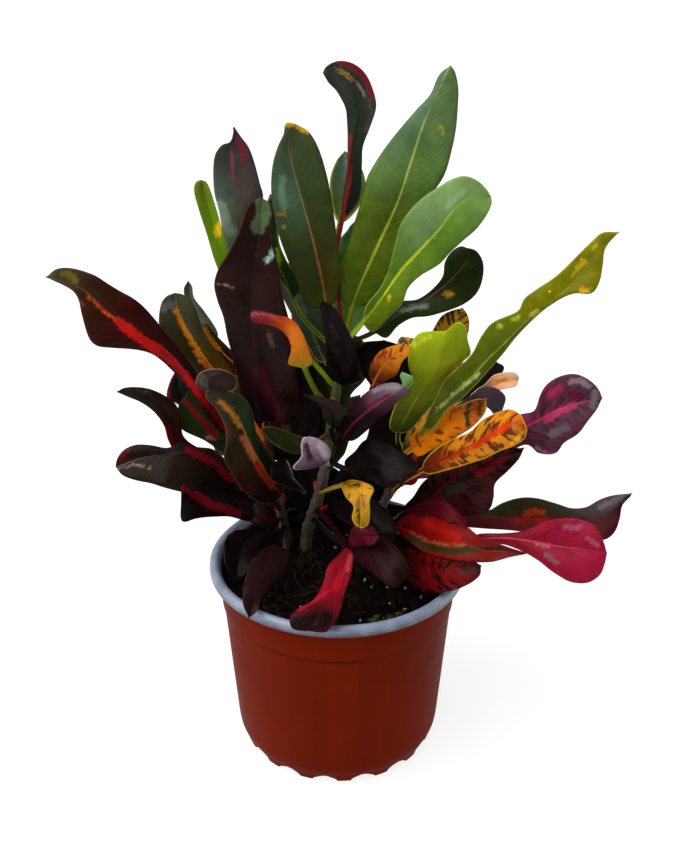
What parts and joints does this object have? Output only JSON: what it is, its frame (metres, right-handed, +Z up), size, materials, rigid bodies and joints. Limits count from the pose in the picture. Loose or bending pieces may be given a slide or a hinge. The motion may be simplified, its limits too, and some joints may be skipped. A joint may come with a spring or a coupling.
{
  "type": "potted croton",
  "caption": "Young croton plant with long, wavy, many-coloured leaves on three stems, rooted in potting mix in a round tapered nursery pot with a rolled rim.",
  "frame": {"origin": "middle of the round pad under the pot's floor, on the surface that the pot stands on", "axes": "+Z up along the pot's axis, +X to the right and +Y to the back as the plant is seen from its best side"},
  "size_m": [0.2757, 0.1889, 0.3437],
  "materials": {
    "pot_plastic": "thermoformed, terracotta outside, satin",
    "mix": "damp peat, bark and perlite, rough",
    "green_foliage": "glossy leathery leaf, green with yellow ribs",
    "dark_foliage": "glossy leathery leaf, dark purple with red ribs",
    "red_foliage": "glossy leathery leaf, crimson, orange and yellow"
  },
  "bodies": {
    "root": {"pot": "pot_plastic", "potting_mix": "mix", "centre_stem": "green_foliage", "left_stem": "dark_foliage", "right_stem": "red_foliage"}
  },
  "joints": []
}
